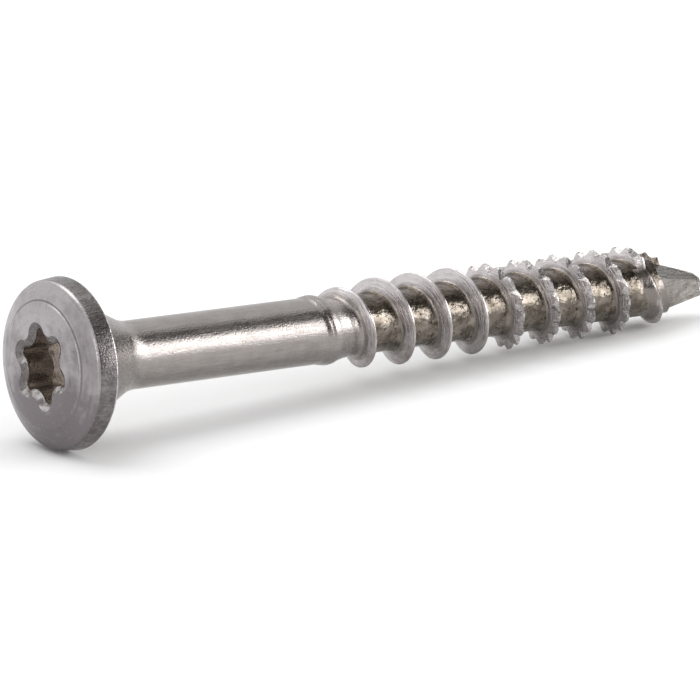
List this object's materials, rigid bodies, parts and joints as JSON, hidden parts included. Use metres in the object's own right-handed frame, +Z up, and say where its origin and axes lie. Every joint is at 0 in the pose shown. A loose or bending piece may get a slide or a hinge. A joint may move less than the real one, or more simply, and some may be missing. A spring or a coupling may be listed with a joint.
{
  "type": "chipboard screw",
  "caption": "Chipboard screw that cuts its own way into wood board: stepped round head with a lobed drive socket, plain shank, coarse serrated thread and sharp point.",
  "frame": {"origin": "bottom centre of the bounding box, on the surface that the screw lies on", "axes": "+X from the head to the tip, +Z up; the screw lies on its head's rim and on two teeth of its last full thread turn, so its line falls 3.3 degrees towards the tip"},
  "size_m": [0.0466, 0.0092, 0.0093],
  "materials": {
    "steel": "bare hardened steel, drawn grain on the shank, satin thread flanks"
  },
  "bodies": {
    "root": {"screw": "steel"}
  },
  "joints": []
}
